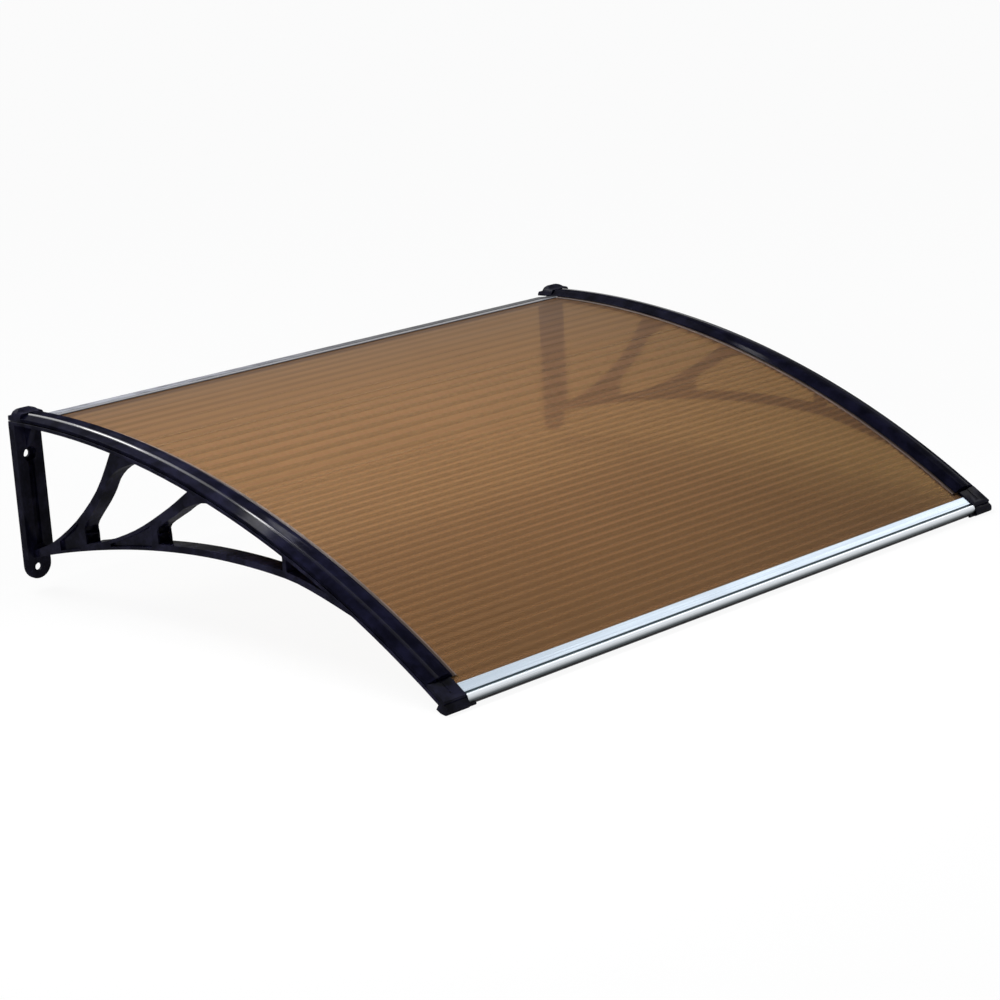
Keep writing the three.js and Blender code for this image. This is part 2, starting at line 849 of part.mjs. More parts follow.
/** The rear rail: a channel over the sheet's wall edge, with its back flat on the wall. */
function rearRail() {
  const lipLow = SHEET_TOP + GAP;
  const lipHigh = lipLow + REAR_LIP_THICK;
  const under = FLOOR - 3;
  const slot = -SHEET_REAR + GAP;
  const step = -REAR_STRIP - GAP;
  const profile = [
    [0, under],
    [-SHEET_REAR, under],
    [-REAR_LIP, FLOOR - 1.8],
    [-REAR_LIP, FLOOR],
    [slot, FLOOR],
    [slot, lipLow],
    [-REAR_LIP, lipLow],
    [-REAR_LIP, lipHigh - 0.5],
    [-REAR_LIP + 0.5, lipHigh],
    [step, lipHigh],
    [step, rebate(step)],
    [0, rebate(0)],
  ].map(([y, h]) => new THREE.Vector2(y, arcHeight(y, h)));
  const end = ARM_WIDTH + GAP;
  return alongX(profile, inward(-1, end), inward(1, end));
}

/** The rubber strip on the rear rail's slope that closes the joint with the wall. */
function wallStrip() {
  const rear = -0.2;
  const front = -REAR_STRIP;
  const profile = [
    [rear, rebate(rear) + GAP],
    [front, rebate(front) + GAP],
    [front, rebate(front) + GAP + 0.4],
    [front + 0.6, rebate(front) + GAP + 0.7],
    [rear, rebate(rear) + GAP + 1],
  ].map(([y, h]) => new THREE.Vector2(y, arcHeight(y, h)));
  const end = ARM_WIDTH + GAP;
  return alongX(profile, inward(-1, end), inward(1, end));
}

/** A pan-head screw with a cross recess, driven from below. */
function screw(side, s, tip) {
  const bottom = ARM_BOTTOM - ARM_RIB;
  const seat = bottom + SCREW_SINK - GAP;
  const length = tip - seat;
  const profile = [
    [0, -2],
    [SCREW_HEAD * 0.7, -1.7],
    [SCREW_HEAD, -0.5],
    [SCREW_HEAD, 0],
    [SCREW_SHANK, 0],
    [SCREW_SHANK, length - 1.2],
    [SCREW_SHANK * 0.4, length],
    [0, length],
  ].map(([r, h]) => new THREE.Vector2(r, h));
  const x = inward(side, SCREW_A);
  const body = squareToArc(new THREE.LatheGeometry(profile, 12), x, s, seat);
  const arms = [
    [2.6, 0.7],
    [0.7, 2.6],
  ].map(([w, d]) =>
    squareToArc(
      new THREE.BoxGeometry(w, 2, d).translate(0, -2, 0),
      x,
      s,
      seat,
    ),
  );
  return less(body, arms);
}

const canopy = new THREE.Group();
canopy.name = "door_canopy";
canopy.add(piece("sheet", sheet(), bronze()));
canopy.add(piece("front_rail", frontRail(), aluminium()));
canopy.add(piece("drip_strip", dripStrip(), rubber()));
canopy.add(piece("rear_rail", rearRail(), aluminium()));
canopy.add(piece("wall_strip", wallStrip(), rubber()));
for (const [word, side] of SIDES) {
  canopy.add(piece("bracket_" + word, bracket(side), plastic()));
  canopy.add(piece("cover_" + word, cover(side), plastic()));
  canopy.add(piece("seal_" + word, seal(side), vinyl()));
  canopy.add(piece("front_cap_" + word, frontCap(side), plastic()));
  canopy.add(piece("rear_cap_" + word, rearCap(side), plastic()));
  for (const [place, s, tip] of SCREWS)
    canopy.add(
      piece("screw_" + word + "_" + place, screw(side, s, tip), steel()),
    );
}

export default canopy;
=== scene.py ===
"""Door canopy: a bronze twin-wall sheet bent over black moulded brackets, with aluminium rails.

Sizes are in millimetres and become metres when a mesh is made. The wall is the plane Y = 0, the
canopy reaches out along -Y, X runs along its width and Z is up.
"""

from __future__ import annotations

import logging
import math
from dataclasses import dataclass, field
from enum import Enum
from typing import Any, Sequence, Union

import bmesh
import bpy
import numpy as np
from mathutils import Matrix, Vector


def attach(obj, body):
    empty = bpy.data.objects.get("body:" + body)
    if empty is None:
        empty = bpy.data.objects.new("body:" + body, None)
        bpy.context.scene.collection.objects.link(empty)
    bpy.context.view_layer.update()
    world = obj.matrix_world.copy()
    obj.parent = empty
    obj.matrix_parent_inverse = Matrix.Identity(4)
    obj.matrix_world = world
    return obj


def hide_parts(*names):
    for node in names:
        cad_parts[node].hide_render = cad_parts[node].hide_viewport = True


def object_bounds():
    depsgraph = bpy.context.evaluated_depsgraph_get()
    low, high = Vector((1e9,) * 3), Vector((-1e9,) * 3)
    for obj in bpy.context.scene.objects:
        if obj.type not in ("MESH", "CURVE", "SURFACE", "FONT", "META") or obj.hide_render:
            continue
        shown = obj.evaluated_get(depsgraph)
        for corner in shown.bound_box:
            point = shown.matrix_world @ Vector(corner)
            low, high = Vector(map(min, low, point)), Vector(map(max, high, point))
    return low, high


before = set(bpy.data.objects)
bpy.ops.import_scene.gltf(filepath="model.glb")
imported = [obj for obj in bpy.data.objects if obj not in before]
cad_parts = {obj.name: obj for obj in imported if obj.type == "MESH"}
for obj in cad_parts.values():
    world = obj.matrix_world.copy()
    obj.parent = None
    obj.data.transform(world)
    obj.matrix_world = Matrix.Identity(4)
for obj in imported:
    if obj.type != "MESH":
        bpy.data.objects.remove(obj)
CAD_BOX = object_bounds()

Array = np.ndarray
Material = bpy.types.Material
Socket = bpy.types.NodeSocket
Colour = tuple[float, float, float]
Point = tuple[float, float, float]
Range = tuple[float, float]
Number = Union["Value", float]

LOG = logging.getLogger("canopy")
MM = 0.001
ALONG = "along"


class Slot(Enum):
    """The record's material slots."""

    SHEET = "bronze_sheet"
    PLASTIC = "black_plastic"
    ALUMINIUM = "aluminium"
    RUBBER = "black_rubber"
    VINYL = "soft_vinyl"
    STEEL = "zinc_steel"


class Side(Enum):
    """The two ends of the canopy, with the sign of their X."""

    LEFT = -1
    RIGHT = 1

    @property
    def word(self) -> str:
        """The side's name as the CAD nodes spell it."""
        return self.name.lower()


class Value:
    """A number socket of a shader, on which maths reads as a plain expression."""

    def __init__(self, graph: Graph, socket: Socket) -> None:
        """Wraps an output socket of the graph that gives one number."""
        self.graph = graph
        self.socket = socket

    def _math(self, operation: str, *values: Number) -> Value:
        """Adds a Math node that takes these values in order, and gives its result."""
        made = self.graph.node(
            "ShaderNodeMath", {"operation": operation}, dict(enumerate(values))
        )
        return Value(self.graph, made.outputs[0])

    def __add__(self, other: Number) -> Value:
        """This plus other."""
        return self._math("ADD", self, other)

    def __sub__(self, other: Number) -> Value:
        """This minus other."""
        return self._math("SUBTRACT", self, other)

    def __rsub__(self, other: float) -> Value:
        """A number minus this."""
        return self._math("SUBTRACT", other, self)

    def __mul__(self, other: Number) -> Value:
        """This times other."""
        return self._math("MULTIPLY", self, other)

    def __truediv__(self, other: Number) -> Value:
        """This divided by other."""
        return self._math("DIVIDE", self, other)

    def __rtruediv__(self, other: float) -> Value:
        """A number divided by this."""
        return self._math("DIVIDE", other, self)

    __radd__ = __add__
    __rmul__ = __mul__

    def size(self) -> Value:
        """The value without its sign."""
        return self._math("ABSOLUTE", self)

    def cosine(self) -> Value:
        """The cosine of the value as an angle."""
        return self._math("COSINE", self)

    def largest(self, other: Number) -> Value:
        """The larger of this and other."""
        return self._math("MAXIMUM", self, other)

    def ramp(self, low: float, high: float, to_low: float, to_high: float) -> Value:
        """The value carried smoothly from one range to another and held at its ends.

        Args:
            low: value at the range's start.
            high: value at the range's end.
            to_low: result at and before the start.
            to_high: result at and past the end.

        Returns:
            The carried value.
        """
        made = self.graph.node(
            "ShaderNodeMapRange",
            {"interpolation_type": "SMOOTHSTEP"},
            {0: self, 1: low, 2: high, 3: to_low, 4: to_high},
        )
        return Value(self.graph, made.outputs[0])

    def spread(self, low: float, high: float) -> Value:
        """Noise, which mostly keeps between 0.3 and 0.7, carried to another range."""
        return self.ramp(0.3, 0.7, low, high)


class Graph:
    """The nodes of a material or of the world, with one way to add a node."""

    def __init__(self, owner: Material | bpy.types.World) -> None:
        """Takes a new material or world, and clears its nodes.

        Args:
            owner: the material or world.
        """
        owner.use_nodes = True
        self.owner = owner
        self.tree = owner.node_tree
        self.tree.nodes.clear()

    def node(
        self,
        kind: str,
        settings: dict[str, Any] | None = None,
        sockets: dict[Any, Any] | None = None,
    ) -> bpy.types.Node:
        """Adds a node.

        Args:
            kind: the node's type.
            settings: its properties, set first.
            sockets: its inputs by name or place, each a value, a Value or an output socket.

        Returns:
            The new node.
        """
        made = self.tree.nodes.new(kind)
        for key, value in (settings or {}).items():
            setattr(made, key, value)
        for key, value in (sockets or {}).items():
            source = value.socket if isinstance(value, Value) else value
            if isinstance(source, Socket):
                self.tree.links.new(source, made.inputs[key])
            else:
                made.inputs[key].default_value = source
        return made

    def place(self) -> Socket:
        """Object coordinates, in metres."""
        return self.node("ShaderNodeTexCoord").outputs["Object"]

    def along(self) -> tuple[Value, Value]:
        """Reads the piece's own map.

        Returns:
            Its two coordinates, in metres.
        """
        spot = self.node("ShaderNodeUVMap", {"uv_map": ALONG}).outputs[0]
        split = self.node("ShaderNodeSeparateXYZ", None, {0: spot})
        return Value(self, split.outputs[0]), Value(self, split.outputs[1])

    def stretched(self, scale: Sequence[float]) -> Socket:
        """Object coordinates multiplied by a scale along each axis."""
        made = self.node("ShaderNodeMapping", None, {"Vector": self.place(), "Scale": scale})
        return made.outputs[0]

    def noise(
        self, at: Socket, scale: float, detail: float = 3.0, rough: float = 0.5
    ) -> Value:
        """Smooth noise around a half.

        Args:
            at: the coordinates it is read at.
            scale: lumps in one unit of the coordinates.
            detail: how many finer layers are added.
            rough: how strong the finer layers are.

        Returns:
            The noise as a number from 0 to 1.
        """
        made = self.node(
            "ShaderNodeTexNoise",
            None,
            {"Vector": at, "Scale": scale, "Detail": detail, "Roughness": rough},
        )
        return Value(self, made.outputs[0])

    def mixed(self, share: Number, first: Any, second: Any) -> Socket:
        """A colour between two.

        Args:
            share: 0 for the first colour, 1 for the second.
            first: a colour or a colour socket.
            second: a colour or a colour socket.

        Returns:
            The mixed colour.
        """
        made = self.node(
            "ShaderNodeMix",
            {"data_type": "RGBA"},
            {0: share, 6: opaque(first), 7: opaque(second)},
        )
        return made.outputs[2]

    def bump(self, height: Value, distance: float, strength: float) -> Socket:
        """A surface normal from a height.

        Args:
            height: the height as a share of the distance.
            distance: the height of 1, in metres.
            strength: how much of the bump is used.

        Returns:
            The normal.
        """
        made = self.node(
            "ShaderNodeBump",
            None,
            {"Height": height, "Distance": distance, "Strength": strength},
        )
        return made.outputs[0]

    def surface(self, sockets: dict[str, Any]) -> Socket:
        """A Principled shader with these inputs."""
        return self.node("ShaderNodeBsdfPrincipled", None, sockets).outputs[0]

    def blend(self, share: Number, first: Any, second: Any) -> Socket:
        """A shader between two: the first at a share of 0, the second at 1."""
        made = self.node("ShaderNodeMixShader", None, {0: share, 1: first, 2: second})
        return made.outputs[0]

    def end(self, shader: Socket, kind: str = "ShaderNodeOutputMaterial") -> None:
        """Joins the finished shader to the graph's output."""
        self.node(kind, None, {"Surface": shader})

    def finish(self, sockets: dict[str, Any]) -> Material:
        """Ends with a Principled shader of these inputs, and gives the finished material."""
        self.end(self.surface(sockets))
        return self.owner


def opaque(colour: Any) -> Any:
    """A colour with full alpha, or a socket as it is."""
    return (*colour, 1.0) if isinstance(colour, tuple) else colour


@dataclass(frozen=True)
class BlackMoulding:
    """Black moulded plastic with a fine grain and a thin gloss, polished along a bead."""

    name: str
    bead: float | None = None
    bead_half: float = 0.0028
    bead_gloss: float = 0.9
    bead_fade: Range = (0.6, 1.1)
    bead_left: float = 0.25
    bead_wear: Range = (0.20, 0.42)
    dark: Colour = (0.0055, 0.0055, 0.0130)
    pale: Colour = (0.0180, 0.0170, 0.0420)
    rough: Range = (0.45, 0.6)
    gloss: float = 0.085
    gloss_rough: float = 0.18
    gloss_clouds: Range = (0.75, 1.25)
    clouds: float = 38.0
    mottle: Range = (0.35, 0.7)
    grains: float = 1400.0
    grain_height: float = 0.00012

    def material(self) -> Material:
        """The finish: mottled near-black, with grain in the bump and a cloudy gloss.

        Where there is a bead, its own gloss takes over within its half width of the inset u in
        the piece's map, and wears off along the arc length v from one end of the wear to the
        other.

        Returns:
            The material.
        """
        graph = Graph(bpy.data.materials.new(self.name))
        at = graph.place()
        cloud = graph.noise(at, self.clouds, 4.0, 0.6)
        grain = graph.noise(at, self.grains, 2.0)
        colour = graph.mixed(cloud.ramp(*self.mottle, 0.0, 1.0), self.dark, self.pale)
        gloss = cloud.spread(*self.gloss_clouds) * self.gloss
        if self.bead is not None:
            inset, length = graph.along()
            off = (inset - self.bead).size() / self.bead_half
            left = length.ramp(*self.bead_wear, 1.0, self.bead_left)
            gloss = gloss.largest(off.ramp(*self.bead_fade, self.bead_gloss, 0.0) * left)
        return graph.finish(
            {
                "Base Color": colour,
                "Roughness": cloud.spread(*self.rough),
                "Specular IOR Level": 0.0,
                "Coat Weight": gloss,
                "Coat Roughness": self.gloss_rough,
                "Coat IOR": 1.5,
                "Normal": graph.bump(grain, self.grain_height, 0.5),
            }
        )


@dataclass(frozen=True)
class SatinAluminium:
    """Anodised extrusion with lines drawn along it, and painted light: shade in its groove and
    under its drip edge, and a highlight on its nose.
    """

    name: str
    # The next seven settings place painted light: shade in the groove, a highlight on the nose
    # past it, and shade on the nose's underside.
    groove: Range = (-0.0054, -0.0024)
    groove_floor: float = -0.0021
    groove_side: float = 0.0006
    groove_fade: Range = (0.85, 1.05)
    lip: Range = (-0.0045, -0.0040)
    nose: Range = (-0.0022, -0.0012)
    painted_underside_span: Range = (-0.0064, -0.0005)
    pale: Colour = (0.435, 0.50, 0.57)
    dull: Colour = (0.37, 0.43, 0.50)
    # The next three colours are painted light: a highlight on the nose, shade in the groove and
    # shade under the nose.
    painted_nose_highlight: Colour = (0.76, 0.80, 0.84)
    shade: Colour = (0.07, 0.095, 0.105)
    painted_underside_shade: Colour = (0.045, 0.055, 0.060)
    die_lines: Point = (3.0, 900.0, 900.0)
    line_tones: Range = (0.35, 0.7)
    line_height: float = 0.00004
    most_dull: float = 0.6
    rough: Range = (0.24, 0.38)
    clouds: float = 14.0
    cloud_rough: float = 0.1

    def material(self) -> Material:
        """The finish: pale metal, with die lines along X in its colour, roughness and bump.

        The groove is where the map's v lies between the groove's edges and its u, the height,
        between the groove's floor and the lip above it; there the colour is painted shade. Past
        the groove the nose gets a painted highlight, and painted shade darkens it from upper to
        lower height.

        Returns:
            The material.
        """
        graph = Graph(bpy.data.materials.new(self.name))
        lines = graph.noise(graph.stretched(self.die_lines), 1.0, 4.0, 0.6)
        cloud = graph.noise(graph.place(), self.clouds)
        height, over = graph.along()
        # Painted shade: this mask darkens the groove to the shade colour.
        middle, half = sum(self.groove) / 2, (self.groove[1] - self.groove[0]) / 2
        inside = ((over - middle).size() / half).ramp(*self.groove_fade, 1.0, 0.0)
        deep = height.ramp(self.groove_floor, self.groove_floor + self.groove_side, 1.0, 0.0)
        above = height.ramp(*self.lip, 0.0, 1.0)
        drawn = lines.ramp(*self.line_tones, 0.0, self.most_dull)
        own_tone = graph.mixed(drawn, self.pale, self.dull)
        # Painted highlight on the nose, then painted shade towards the nose's bottom.
        with_nose_highlight = graph.mixed(over.ramp(*self.nose, 0.0, 1.0), own_tone, self.painted_nose_highlight)
        metal = graph.mixed(height.ramp(*self.painted_underside_span, 1.0, 0.0), with_nose_highlight, self.painted_underside_shade)
        return graph.finish(
            {
                "Base Color": graph.mixed(inside * deep * above, metal, self.shade),
                "Metallic": 1.0,
                "Roughness": lines.spread(*self.rough) + (cloud - 0.5) * self.cloud_rough,
                "Normal": graph.bump(lines, self.line_height, 0.4),
            }
        )


@dataclass(frozen=True)
class MattRubber:
    """Black rubber with a dry bloom, and a painted reflection that makes it paler towards one end.
    """

    name: str
    dark: Colour = (0.004, 0.004, 0.005)
    bloom: Colour = (0.012, 0.012, 0.014)
    # The next two fields paint a reflection: a paler colour towards one end, and the span along X
    # over which it fades.
    painted_reflection: Colour = (0.008, 0.008, 0.010)
    painted_reflection_span: Range = (-0.5, 0.5)
    rough: Range = (0.55, 0.75)
    clouds: float = 45.0
    mottle: Range = (0.4, 0.75)
    most_bloom: float = 0.7
    grains: float = 1800.0
    grain_height: float = 0.00015

    def material(self) -> Material:
        """The finish: dark, with a cloudy bloom and a fine skin.

        The painted reflection, a paler colour, fades out along X between the two ends of its span.

        Returns:
            The material.
        """
        graph = Graph(bpy.data.materials.new(self.name))
        at = graph.place()
        cloud = graph.noise(at, self.clouds, 4.0)
        skin = graph.noise(at, self.grains, 2.0)
        x = Value(graph, graph.node("ShaderNodeSeparateXYZ", None, {0: at}).outputs[0])
        # Painted reflection: the colour is paler towards -X and fades out along X.
        pale = graph.mixed(x.ramp(*self.painted_reflection_span, 1.0, 0.0), self.dark, self.painted_reflection)
        dry = cloud.ramp(*self.mottle, 0.0, self.most_bloom)
        return graph.finish(
            {
                "Base Color": graph.mixed(dry, pale, self.bloom),
                "Roughness": cloud.spread(*self.rough),
                "Specular IOR Level": 0.3,
                "Normal": graph.bump(skin, self.grain_height, 0.5),
            }
        )


@dataclass(frozen=True)
class MilkyVinyl:
    """Soft translucent lip: a pale tip with a pink-brown cast, and a root darkened with painted
    shade.
    """

    tip: Range = (0.0425, 0.0437)
    pale: Colour = (0.140, 0.096, 0.078)
    warm: Colour = (0.098, 0.065, 0.049)
    # Painted shade for the root next to the cover.
    painted_root_shade: Colour = (0.030, 0.019, 0.014)
    rough: Range = (0.38, 0.52)
    clouds: float = 22.0
    mottle: Range = (0.35, 0.7)
    grains: float = 900.0
    grain_height: float = 0.0001

    def material(self) -> Material:
        """The finish: slow changes of tone along its length.

        The pale tip begins between the two insets u of the piece's map; inboard of it the root has
        painted shade.

        Returns:
            The material.
        """
        graph = Graph(bpy.data.materials.new("milky_vinyl"))
        at = graph.place()
        cloud = graph.noise(at, self.clouds)
        skin = graph.noise(at, self.grains, 2.0)
        tip = graph.along()[0].ramp(*self.tip, 0.0, 1.0)
        own_tone = graph.mixed(cloud.ramp(*self.mottle, 0.0, 1.0), self.pale, self.warm)
        return graph.finish(
            {
                # Painted shade: the root, inboard of the tip, is darkened.
                "Base Color": graph.mixed(tip, self.painted_root_shade, own_tone),
                "Roughness": skin.spread(*self.rough),
                "Specular IOR Level": 0.15,
                "Normal": graph.bump(skin, self.grain_height, 0.4),
            }
        )


@dataclass(frozen=True)
class ZincSteel:
    """Zinc-plated screw steel."""

    bright: Colour = (0.62, 0.63, 0.66)
    dull: Colour = (0.42, 0.42, 0.43)
    rough: Range = (0.25, 0.45)
    spangles: float = 420.0
    mottle: Range = (0.35, 0.65)
    spangle_height: float = 0.00005

    def material(self) -> Material:
        """The finish: spangled plating with a slightly uneven shine.

        Returns:
            The material.
        """
        graph = Graph(bpy.data.materials.new("zinc_steel"))
        spangle = graph.noise(graph.place(), self.spangles, 4.0, 0.6)
        tone = spangle.ramp(*self.mottle, 0.0, 1.0)
        return graph.finish(
            {
                "Base Color": graph.mixed(tone, self.bright, self.dull),
                "Metallic": 1.0,
                "Roughness": spangle.spread(*self.rough),
                "Normal": graph.bump(spangle, self.spangle_height, 0.4),
            }
        )


@dataclass(frozen=True)
class BronzeSheet:
    """Bronze-tinted twin-wall polycarbonate that lets a little of what is behind it show."""

    name: str
    share: float
    pitch: float
    start: float
    light: Colour = (0.242, 0.128, 0.0630)
    deep: Colour = (0.113, 0.0592, 0.0290)
    tint: Colour = (0.97, 0.86, 0.66)
    rough: Range = (0.28, 0.4)
    shimmer: Range = (0.30, 0.44)
    streaks: Range = (1.5, 420.0)
    clouds: float = 3.2
    least_depth: float = 0.2
    band_depth: float = 0.5
    band_height: float = 0.00008
    streak_depth: float = 0.18
    cloud_depth: float = 0.22

    def material(self) -> Material:
        """The finish: a tinted clear layer under a brown body colour, banded over the ribs.

        The band is a cosine of the arc length v in the sheet's own map, with its peak over
        each rib. Towards the wall, from the far to the near end of the shimmer, every second
        band takes over. Faint streaks run along the flutes.

        Returns:
            The material.
        """
        graph = Graph(bpy.data.materials.new(self.name))
        across, along = graph.along()
        turn = (along - self.start) * (math.pi / self.pitch)
        every = (turn * 2.0).cosine() * 0.5 + 0.5
        second = turn.cosine() * 0.5 + 0.5
        band = every + (second - every) * along.ramp(*self.shimmer, 1.0, 0.0)
        wide, fine = self.streaks
        spot = graph.node("ShaderNodeCombineXYZ", None, {0: across * wide, 1: along * fine})
        streak = graph.noise(spot.outputs[0], 1.0)
        cloud = graph.noise(graph.place(), self.clouds, 2.0)
        depth = (
            band * self.band_depth
            + (streak - 0.5) * self.streak_depth
            + (cloud - 0.5) * self.cloud_depth
            + self.least_depth
        )
        body = graph.surface(
            {
                "Base Color": graph.mixed(depth, self.light, self.deep),
                "Roughness": streak.spread(*self.rough),
                "Specular IOR Level": 0.02,
                "Normal": graph.bump(band, self.band_height, 0.4),
            }
        )
        clear = graph.node("ShaderNodeBsdfTransparent", None, {"Color": opaque(self.tint)})
        graph.end(graph.blend(self.share, clear.outputs[0], body))
        return graph.owner


@dataclass
class MeshData:
    """Points, faces and the map of one piece before it becomes an object."""

    points: Array
    faces: list[list[int]]
    along: Array

    @staticmethod
    def loft(rings: Array, along: Array) -> MeshData:
        """A closed profile carried through stations, with both ends closed.

        Point j of station i joins point j + 1 of the same station and the same two of station
        i + 1 into one four-sided face.

        Args:
            rings: points as stations, profile points and three coordinates.
            along: map coordinates as stations, profile points and two coordinates.

        Returns:
            The closed mesh.
        """
        stations, count, _ = rings.shape
        index = np.arange(stations * count).reshape(stations, count)
        turned = np.roll(index, -1, axis=1)
        quads = np.stack([index[:-1], turned[:-1], turned[1:], index[1:]], axis=-1)
        faces = quads.reshape(-1, 4).tolist()
        faces.append(index[0, ::-1].tolist())
        faces.append(index[-1].tolist())
        return MeshData(rings.reshape(-1, 3), faces, along.reshape(-1, 2))

    def volume(self) -> float:
        """Adds up a . (b x c) / 6 over the faces cut into fans of triangles.

        Returns:
            The volume, below 0 if the faces point inwards.
        """
        fans = [(f[0], f[i], f[i + 1]) for f in self.faces for i in range(1, len(f) - 1)]
        a, b, c = np.moveaxis(self.points[np.array(fans)], 1, 0)
        return float(np.einsum("ij,ij->", a, np.cross(b, c)) / 6.0)

    def object(self, name: str, sharp: float = 32.0) -> bpy.types.Object:
        """The object of this mesh, smooth except at edges sharper than an angle.

        Args:
            name: the object's name.
            sharp: the angle in degrees.

        Returns:
            The linked object, at the origin.
        """
        faces = self.faces if self.volume() > 0 else [f[::-1] for f in self.faces]
        mesh = bpy.data.meshes.new(name)
        mesh.from_pydata((self.points * MM).tolist(), [], faces)
        corner = np.zeros(len(mesh.loops), np.int32)
        mesh.loops.foreach_get("vertex_index", corner)
        layer = mesh.uv_layers.new(name=ALONG)
        layer.data.foreach_set("uv", (self.along[corner] * MM).astype(np.float32).ravel())
        return linked(name, mesh, sharp)


def added(name: str, data: bpy.types.ID) -> bpy.types.Object:
    """A new object in the scene.

    Args:
        name: the object's name.
        data: its mesh, lamp or camera.

    Returns:
        The linked object.
    """
    made = bpy.data.objects.new(name, data)
    bpy.context.scene.collection.objects.link(made)
    return made


def linked(name: str, mesh: bpy.types.Mesh, sharp: float) -> bpy.types.Object:
    """A new object of a mesh with smooth faces.

    Args:
        name: the object's name.
        mesh: its mesh.
        sharp: edges past this angle in degrees stay sharp.

    Returns:
        The linked object.
    """
    mesh.polygons.foreach_set("use_smooth", np.ones(len(mesh.polygons), bool))
    mesh.set_sharp_from_angle(angle=math.radians(sharp))
    mesh.update()
    return added(name, mesh)


def rounded(
    points: Sequence[Sequence[float]], radius: float, steps: int = 4, most: float = 0.47
) -> Array:
    """A closed polygon with every corner P rounded off.

    The corner is cut back to A and B by the radius, or by the most that the shorter edge gives,
    and the points (1-t)^2 A + 2t(1-t) P + t^2 B take its place.

    Args:
        points: the polygon's corners.
        radius: the cut along each edge.
        steps: segments of each rounded corner.
        most: the largest share of an edge that one corner takes.

    Returns:
        The rounded polygon's points.
    """
    corner = np.asarray(points, float)
    back = np.roll(corner, 1, axis=0) - corner
    ahead = np.roll(corner, -1, axis=0) - corner
    back_size = np.linalg.norm(back, axis=1, keepdims=True)
    ahead_size = np.linalg.norm(ahead, axis=1, keepdims=True)
    cut = np.minimum(radius, most * np.minimum(back_size, ahead_size))
    first = (corner + back / back_size * cut)[:, None]
    last = (corner + ahead / ahead_size * cut)[:, None]
    t = np.linspace(0.0, 1.0, steps + 1)[None, :, None]
    curve = (1 - t) ** 2 * first + 2 * t * (1 - t) * corner[:, None] + t**2 * last
    return curve.reshape(-1, 2)


@dataclass(frozen=True)
class Arc:
    """The circle that the arms' top edge follows out from the wall."""

    projection: float = 800.0
    drop: float = 218.0
    crown: float = 60.0
    crown_z: float = 10.0

    @property
    def reach(self) -> float:
        """Distance from the crown to the front end."""
        return self.projection - self.crown

    @property
    def radius(self) -> float:
        """Radius of the circle through the crown and the front end."""
        return (self.reach**2 + self.drop**2) / (2 * self.drop)

    @property
    def wall(self) -> float:
        """Arc length at the wall, counted from the crown."""
        return self.length(0.0)

    @property
    def front(self) -> float:
        """Arc length at the front end, counted from the crown."""
        return self.length(-self.projection)

    def length(self, y: float) -> float:
        """Arc length at a distance y from the wall."""
        return self.radius * math.asin((-self.crown - y) / self.radius)

    def point(self, s: Array, h: Array) -> Array:
        """Points at arc length s and height h square to the arc.

        With the turn s / radius, y is -crown - (radius + h) sin and z is the circle's centre
        plus (radius + h) cos.

        Args:
            s: arc lengths.
            h: heights.

        Returns:
            The points' y and z in the last axis.
        """
        turn = np.asarray(s, float) / self.radius
        reach = self.radius + np.asarray(h, float)
        y = -self.crown - reach * np.sin(turn)
        z = self.crown_z - self.radius + reach * np.cos(turn)
        return np.stack([y, z], axis=-1)

    def height(self, y: Array, h: Array) -> Array:
        """Z of the arc raised by h at the distances y from the wall."""
        reach = np.sqrt((self.radius + h) ** 2 - (y + self.crown) ** 2)
        return self.crown_z - self.radius + reach


